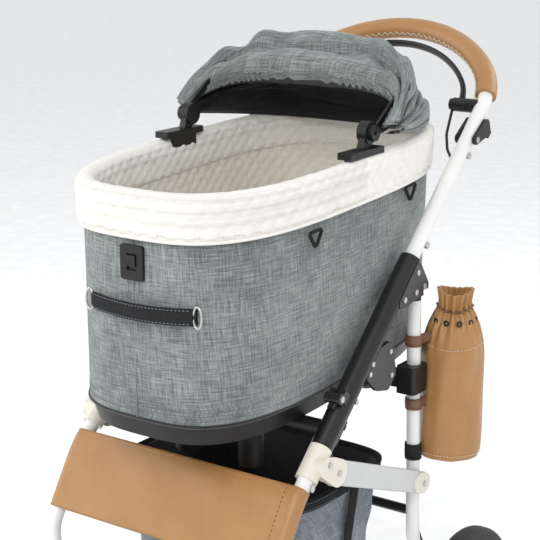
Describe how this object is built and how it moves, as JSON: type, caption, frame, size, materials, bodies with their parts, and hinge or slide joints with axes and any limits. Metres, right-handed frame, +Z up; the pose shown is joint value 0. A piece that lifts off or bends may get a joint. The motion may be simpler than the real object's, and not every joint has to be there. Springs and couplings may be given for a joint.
{
  "type": "pet stroller",
  "caption": "Folding pet stroller with a lined fabric cot, fold-back hood, leather push handle, storage basket and removable wheels.",
  "frame": {"origin": "on the ground, under the centre of the whole stroller", "axes": "+Z up, +X to the stroller's right side as seen from the front with the push handle at +Y, travel is along -Y"},
  "size_m": [0.57, 0.9041, 1.0762],
  "materials": {
    "white_paint": "gloss powder coat",
    "cream_paint": "satin powder coat",
    "grey_bar_paint": "satin powder coat",
    "black_sleeve": "satin",
    "black_plastic": "fine texture",
    "steel": "satin",
    "white_rim_plastic": "gloss",
    "tan_leather": "grained",
    "brown_leather": "smooth",
    "grey_linen": "melange weave",
    "cream_quilt": "diamond quilting",
    "black_webbing": "ribbed webbing",
    "denim_mesh": "melange weave",
    "tyre_rubber": "treaded",
    "cable_rubber": "smooth"
  },
  "bodies": {
    "chassis": {"front_tubes": "white_paint", "lower_sleeves": "black_sleeve", "frame_pins": "steel", "side_bars": "grey_bar_paint", "bar_brackets": "cream_paint", "rear_legs": "white_paint", "leg_mouldings": "black_plastic", "front_cross_member": "black_plastic", "axle_clamps": "black_plastic", "rear_axle_beam": "black_sleeve", "rear_cross_tubes": "black_sleeve", "steering_head": "black_plastic", "steering_bushes": "steel", "rear_wheel_bearings": "steel", "stub_axles": "steel", "brake_plates": "black_plastic", "brake_shoes": "cable_rubber", "chassis_fasteners": "steel", "basket": "denim_mesh", "leather_panel": "tan_leather", "drawstring_bag": "tan_leather", "bag_drawstring": "brown_leather", "lower_brake_cable": "cable_rubber"},
    "upper_frame": {"upper_sleeves": "black_sleeve", "push_bar": "white_paint", "leather_grip": "tan_leather", "brake_lever_pivots": "black_plastic", "upper_fasteners": "steel", "upper_brake_cable": "cable_rubber"},
    "brake_lever": {"brake_lever": "black_plastic"},
    "trigger_left": {"fold_trigger_left": "black_plastic"},
    "trigger_right": {"fold_trigger_right": "black_plastic"},
    "latch_left": {"fold_latch_left": "black_plastic"},
    "latch_right": {"fold_latch_right": "black_plastic"},
    "fork": {"front_fork": "white_paint", "fork_stem": "steel", "front_axle": "steel", "front_wheel_bearings": "steel"},
    "front_wheel": {"front_tyre": "tyre_rubber", "front_rim": "white_rim_plastic"},
    "rear_wheel_left": {"rear_tyre_left": "tyre_rubber", "rear_rim_left": "white_rim_plastic"},
    "rear_wheel_right": {"rear_tyre_right": "tyre_rubber", "rear_rim_right": "white_rim_plastic"},
    "release_left": {"wheel_release_button_left": "black_plastic"},
    "release_right": {"wheel_release_button_right": "black_plastic"},
    "cot": {"cot_shell": "grey_linen", "cot_tray": "black_plastic", "cot_liner": "cream_quilt", "cot_cushion": "cream_quilt", "cot_cuff": "cream_quilt", "buckle_plate": "black_plastic", "carry_strap": "black_webbing", "tether_loops": "black_webbing", "hood_clamps": "black_plastic"},
    "buckle_button": {"buckle_button": "black_plastic"},
    "hood_mid": {"hood_mid_bow": "black_plastic", "canopy_rear": "grey_linen"},
    "hood_front": {"hood_front_bow": "black_plastic", "canopy_front": "grey_linen"}
  },
  "joints": [
    {"name": "frame_fold", "type": "hinge", "parent": "chassis", "child": "upper_frame", "pos_m": [0, -0.11391, 0.57951], "axis": [1, 0, 0], "range_deg": [0, 160]},
    {"name": "brake_squeeze", "type": "hinge", "parent": "upper_frame", "child": "brake_lever", "pos_m": [0, 0.32092, 0.95204], "axis": [1, 0, 0], "range_deg": [0, 10], "stiffness_Nm_per_rad": 6, "springref_deg": -5.73},
    {"name": "trigger_squeeze_left", "type": "hinge", "parent": "upper_frame", "child": "trigger_left", "pos_m": [-0.203, 0.27208, 0.90618], "axis": [1, 0, 0], "range_deg": [0, 12]},
    {"name": "trigger_squeeze_right", "type": "hinge", "parent": "upper_frame", "child": "trigger_right", "pos_m": [0.203, 0.27208, 0.90618], "axis": [1, 0, 0], "range_deg": [0, 12]},
    {"name": "latch_slide_left", "type": "slide", "parent": "chassis", "child": "latch_left", "axis": [0, -0.7291, -0.6844], "range_m": [0, 0.01]},
    {"name": "latch_slide_right", "type": "slide", "parent": "chassis", "child": "latch_right", "axis": [0, -0.7291, -0.6844], "range_m": [0, 0.01]},
    {"name": "fork_swivel", "type": "hinge", "parent": "chassis", "child": "fork", "pos_m": [0, -0.382, 0.268], "axis": [0, 0, 1], "continuous": true},
    {"name": "front_wheel_spin", "type": "hinge", "parent": "fork", "child": "front_wheel", "pos_m": [0, -0.352, 0.1], "axis": [1, 0, 0], "continuous": true},
    {"name": "rear_wheel_spin_left", "type": "hinge", "parent": "chassis", "child": "rear_wheel_left", "pos_m": [-0.258, 0.215, 0.132], "axis": [1, 0, 0], "continuous": true},
    {"name": "rear_wheel_spin_right", "type": "hinge", "parent": "chassis", "child": "rear_wheel_right", "pos_m": [0.258, 0.215, 0.132], "axis": [1, 0, 0], "continuous": true},
    {"name": "wheel_release_left", "type": "slide", "parent": "rear_wheel_left", "child": "release_left", "axis": [1, 0, 0], "range_m": [0, 0.003], "stiffness_N_per_m": 120},
    {"name": "wheel_release_right", "type": "slide", "parent": "rear_wheel_right", "child": "release_right", "axis": [-1, 0, 0], "range_m": [0, 0.003], "stiffness_N_per_m": 120},
    {"name": "cot_lift", "type": "slide", "parent": "chassis", "child": "cot", "axis": [0, 0, 1], "range_m": [0, 0.3]},
    {"name": "buckle_press", "type": "slide", "parent": "cot", "child": "buckle_button", "axis": [0, 0, -1], "range_m": [0, 0.003], "stiffness_N_per_m": 120, "springref_m": -0.004},
    {"name": "hood_mid_fold", "type": "hinge", "parent": "cot", "child": "hood_mid", "pos_m": [0, 0.026, 0.946], "axis": [1, 0, 0], "range_deg": [0, 50], "deforming": ["canopy_rear"]},
    {"name": "hood_open", "type": "hinge", "parent": "hood_mid", "child": "hood_front", "pos_m": [0, 0.026, 0.946], "axis": [1, 0, 0], "range_deg": [0, 50], "deforming": ["canopy_front"]}
  ],
  "couplings": [
    {"joint": "hood_mid_fold", "follows": "hood_open", "ratio": 1},
    {"joint": "latch_slide_left", "follows": "trigger_squeeze_left", "m_per_rad": 0.0477},
    {"joint": "latch_slide_right", "follows": "trigger_squeeze_right", "m_per_rad": 0.0477}
  ]
}
